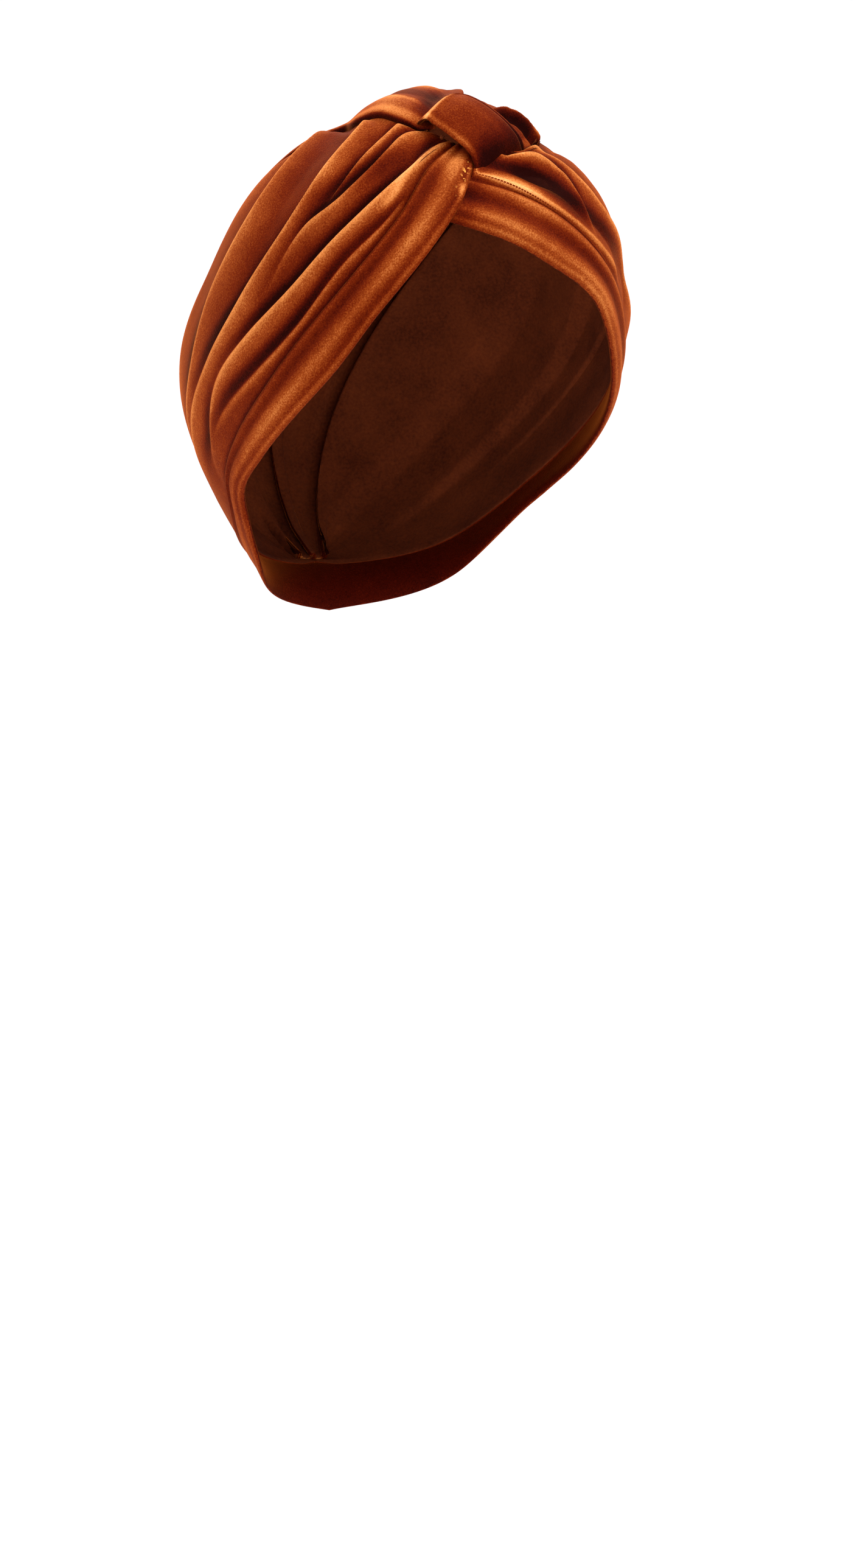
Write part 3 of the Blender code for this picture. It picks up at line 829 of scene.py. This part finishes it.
REAR_FOLD_LIFT = (
    (0.0, 2.6, 1.0, 3.6),
    (0.08, 4.0, 0.6, 6.4),
    (0.13, 4.2, 0.4, 7.8),
    (0.2, 4.0, 0.4, 7.0),
    (0.27, 4.6, 0.8, 5.6),
    (0.4, 4.8, 1.0, 4.2),
    (0.9, 4.4, 0.4, 3.8),
    (1.0, 2.4, 0.0, 2.0),
)
left_panel = add_panel(
    "left_pleated_panel",
    "left_panel",
    LEFT_BAND_TOP,
    LEFT_PANEL_TOP,
    LEFT_PLEATS,
    LEFT_FULLNESS,
    REAR_FOLD_LIFT,
    LEFT_PANEL_PAINTED_LIGHT,
    LEFT_PANEL_DENTS,
    (8.0, 42.0),
    3.3,
    1.5,
)

# Crown drape
# The loop's cloth goes on from the knot as a puffed swath over the wearer's right half of
# the crown and down the back, its lower edge folded under.
CROWN_LINE = (
    (0.0, 17.0, 49.5),
    (0.1, 2.0, 66.0),
    (0.2, -6.0, 81.0),
    (0.3, -8.0, 96.0),
    (0.4, -8.0, 110.0),
    (0.5, -7.0, 125.0),
    (0.6, -5.0, 140.0),
    (0.7, -3.0, 156.0),
    (0.8, -1.0, 174.0),
    (0.9, 0.0, 196.0),
    (1.0, 0.0, 227.4),
)
DRAPE_PLEATS = (
    (1.6, 7.0, 16.0, 0.1, 1.10, 0.5, (0.3, 0.3, 0.26, 0.25, 0.26, 0.28, 0.3, 0.3, 0.3, 0.3)),
    (1.8, 6.0, 18.0, 0.12, 1.10, 0.5, (0.7, 0.68, 0.62, 0.6, 0.6, 0.62, 0.64, 0.66, 0.68, 0.7)),
)
# Spots of painted light and shade in the tone, in the same columns as the bands'.
DRAPE_PAINTED_LIGHT = (
    (0.03, 0.35, 14.0, 12.0, -0.24),
    (0.10, 0.42, 8.0, 9.0, -0.22),
    (0.04, 0.97, 8.0, 4.0, 0.10),
    (0.20, 0.25, 14.0, 9.0, 0.12),
    (0.14, 0.70, 16.0, 10.0, 0.12),
)
SWATH_ROWS = 230
SWATH_COLUMNS = 96
SWATH_LENGTH = 330.0
SWATH_TONE = 0.39
HEM_REACH = 4.5
HEM_ROLL = 3.2
HEM_LEAN = 1.5
LAP_DROP = 2.6
LAP_SINK = 1.8
RIM_HEIGHT = 3.4
RIM_WIDTH = 3.4
RIM_HOLLOW = 1.6


def add_swath(name, node, low, top, lifts, pleats, spots, seed, lap_mm, front=None, rim=None):
    """A swath over the crown whose lower edge is rolled under and hangs over the panel.

    It laps the other swath at the crown line, from below where lap_mm is less than none. Its
    lower edge starts at front, a turn and rise, and rim is a ridge across the swath.
    """
    piece, share, across = add_grid(name, SWATH_ROWS, SWATH_COLUMNS)
    low_edge, top_edge = edge(low, share), edge(top, share)
    if front is not None:
        start = edge(low, np.zeros(1))
        low_edge = low_edge + (1.0 - ease(share / 0.055))[:, None] * (direction(*front) - start)
        low_edge /= np.linalg.norm(low_edge, axis=1)[:, None]
    width = arc_width(low_edge, top_edge)
    lap = abs(lap_mm) / np.maximum(width, 12.0)
    across = across**1.25 * (1.0 + lap)
    lift, leaning, light, crevice_shade = pleated(pleats, share, across, width)
    low_lift, middle, top_lift = smooth_between(lifts, share)
    bow = np.sin(np.pi * np.clip(across, 0.0, 1.0))
    base = low_lift + (top_lift - low_lift) * ease(across) + middle * bow
    hem = np.clip(1.0 - across * width / HEM_REACH, 0.0, 1.0)
    rolled = HEM_ROLL * (1.0 - np.sqrt(np.clip(1.0 - hem**2, 0.0, 1.0)))
    inner = np.clip((across - 1.0) / np.maximum(lap, 0.001), 0.0, 1.0)
    lift = base + lift - rolled * ease(share / 0.06) + 0.35 * ripple(share, across, seed)
    lift += 0.15 * ripple(share, 2.7 * across, seed + 3.0)
    if lap_mm < 0.0:
        lift -= LAP_DROP * ease((across - 0.94) / 0.05)
    else:
        lift -= LAP_SINK * inner**2
    # Painted highlights on the pleat crests and painted shade in their crevices; the ripple is random
    # tone.
    tone_and_painted_light = SWATH_TONE + 0.32 * light - 0.26 * crevice_shade + 0.05 * ripple(share, across, seed + 2.0)
    tone_and_painted_light += glow(spots, share, across, width, SWATH_LENGTH)
    # Painted highlight along the rolled lower edge and painted shade under its roll.
    tone_and_painted_light += 0.16 * hump(across * width - 3.6, 1.6) - 0.34 * ease((hem - 0.45) / 0.5)
    if rim is not None:
        rim_share = smooth_between(rim, across)[0]
        beyond = (share - rim_share) * SWATH_LENGTH
        here = ease((0.75 - across) / 0.3)
        ridge = RIM_HEIGHT * hump(beyond, RIM_WIDTH) - RIM_HOLLOW * hump(beyond + 8.0, 3.5)
        lift += here * ridge
        # Painted highlight on the rim and painted shade in the hollow behind it.
        tone_and_painted_light += here * (0.30 * hump(beyond - 0.8, 1.8) - 0.36 * hump(beyond + 5.5, 4.5))
    across = across + leaning / np.maximum(width, 20.0)
    across = across - HEM_LEAN * np.sin(np.pi * hem) / np.maximum(width, 12.0)
    d = between(low_edge, top_edge, across)
    lay(piece, d, lift, {"tone_and_painted_light": tone_and_painted_light})
    finish_cloth(piece, node, wall_mm=1.4)
    return piece


crown_drape = add_swath(
    "right_crown_swath",
    "crown_drape",
    RIGHT_PANEL_TOP,
    CROWN_LINE,
    DRAPE_LIFT,
    DRAPE_PLEATS,
    DRAPE_PAINTED_LIGHT,
    5.2,
    2.0,
)

# Rear fold
# The wearer's right cloth comes out again from under the loop and goes back over the left
# half of the crown, beside the drape.
REAR_FOLD_PLEATS = (
    (2.0, 6.0, 16.0, 0.16, 1.10, 0.6, (0.3, 0.34, 0.36, 0.34, 0.3, 0.3, 0.3, 0.3, 0.3, 0.3)),
    (1.8, 6.0, 14.0, 0.18, 1.10, 0.6, (0.7, 0.74, 0.72, 0.68, 0.66, 0.66, 0.66, 0.66, 0.68, 0.7)),
)
# A spot of painted shade in the tone near the front, in the same columns.
REAR_FOLD_PAINTED_LIGHT = ((0.02, 0.3, 8.0, 14.0, -0.12),)
# Ridge that the fold makes just behind the loop: share of the width, share of the length.
REAR_RIM = (
    (0.0, 0.085),
    (0.15, 0.108),
    (0.35, 0.112),
    (0.5, 0.085),
    (0.75, 0.05),
    (1.0, 0.03),
)
rear_fold = add_swath(
    "left_crown_swath",
    "rear_fold",
    LEFT_PANEL_TOP,
    CROWN_LINE,
    REAR_FOLD_LIFT,
    REAR_FOLD_PLEATS,
    REAR_FOLD_PAINTED_LIGHT,
    6.4,
    -4.0,
    front=(11.6, 37.6),
    rim=REAR_RIM,
)

# Knot loop
# A doubled strip of the left half's cloth that turns over in a sharp crease, runs down over
# the crossing and tucks in between the two halves.
LOOP_RIGHT_EDGE = (
    (0.0, 27.5, 49.5),
    (0.12, 25.3, 46.6),
    (0.24, 23.4, 44.7),
    (0.4, 20.8, 42.3),
    (0.56, 18.3, 40.0),
    (0.72, 15.8, 37.6),
    (0.85, 14.3, 35.9),
    (1.0, 13.4, 33.4),
)
LOOP_LEFT_EDGE = (
    (0.0, 16.5, 56.5),
    (0.12, 15.8, 53.2),
    (0.24, 11.0, 53.7),
    (0.4, 7.1, 50.9),
    (0.56, 4.0, 47.5),
    (0.72, 1.0, 44.2),
    (0.85, -1.4, 42.1),
    (1.0, -4.0, 41.0),
)
LOOP_LIFT = (
    (0.0, 6.0, 0.0, 7.0),
    (0.12, 11.5, 0.6, 13.5),
    (0.24, 11.2, 1.4, 13.2),
    (0.4, 10.4, 2.0, 12.6),
    (0.56, 9.4, 2.3, 11.4),
    (0.72, 8.2, 2.2, 9.6),
    (0.85, 6.4, 1.6, 7.4),
    (1.0, 2.6, 0.6, 3.0),
)
LOOP_ROWS = 130
LOOP_ROUND = 110
LOOP_LENGTH = 46.0
LOOP_THICKNESS = 2.8
LOOP_TONE = 0.40
# Spots of painted light and shade in the tone, darker at the tucked lower end, in the same columns as
# the bands'.
LOOP_PAINTED_LIGHT = (
    (0.95, 0.30, 8.0, 18.0, -0.34),
    (0.80, 0.85, 9.0, 8.0, -0.08),
    (0.22, 0.70, 9.0, 8.0, 0.10),
)


def add_loop(name, node):
    """A closed flat strip like the bands, domed, with the edge of its second layer showing."""
    piece, share, around = add_grid(name, LOOP_ROWS, LOOP_ROUND)
    share = share**1.15
    low_edge, top_edge = edge(LOOP_RIGHT_EDGE, share), edge(LOOP_LEFT_EDGE, share)
    width = arc_width(low_edge, top_edge)
    outside = around < 0.5
    along_face = np.where(outside, 2.0 * around, 2.0 - 2.0 * around)
    across = 0.5 - 0.5 * np.cos(np.pi * along_face)
    round_off = np.sqrt(np.clip(1.0 - np.abs(2.0 * across - 1.0) ** 7, 0.0, 1.0))
    low_lift, middle, top_lift = smooth_between(LOOP_LIFT, share)
    lift = low_lift + (top_lift - low_lift) * ease(across) + middle * np.sin(np.pi * across)
    lift += (np.where(outside, 1.0, -1.0) * round_off - 1.0) * LOOP_THICKNESS / 2.0
    second_layer = hump((1.0 - across) * width - 2.6, 0.7)
    lift += outside * (0.16 * ripple(share, across, 7.7) - 0.6 * second_layer * ease(share / 0.2))
    d = between(low_edge, top_edge, across)
    # Painted highlight along the crease and along the edge, painted shade along the second layer's
    # edge and in the hollow behind the crease; the ripple is random tone.
    tone_and_painted_light = LOOP_TONE + 0.36 * hump((share - 0.12) * LOOP_LENGTH, 1.6)
    tone_and_painted_light += glow(LOOP_PAINTED_LIGHT, share, across, width, LOOP_LENGTH)
    tone_and_painted_light += 0.16 * hump(across * width - 1.0, 0.8) - 0.2 * second_layer
    tone_and_painted_light += 0.04 * ripple(share, across, 1.7) - 0.5 * ease((0.09 - share) / 0.06)
    # The inner face is painted dark, as shade.
    lay(piece, d, lift, {"tone_and_painted_light": np.where(outside, tone_and_painted_light, 0.15)})
    finish_cloth(piece, node)
    return piece


knot_loop = add_loop("twist_knot_loop", "knot_loop")
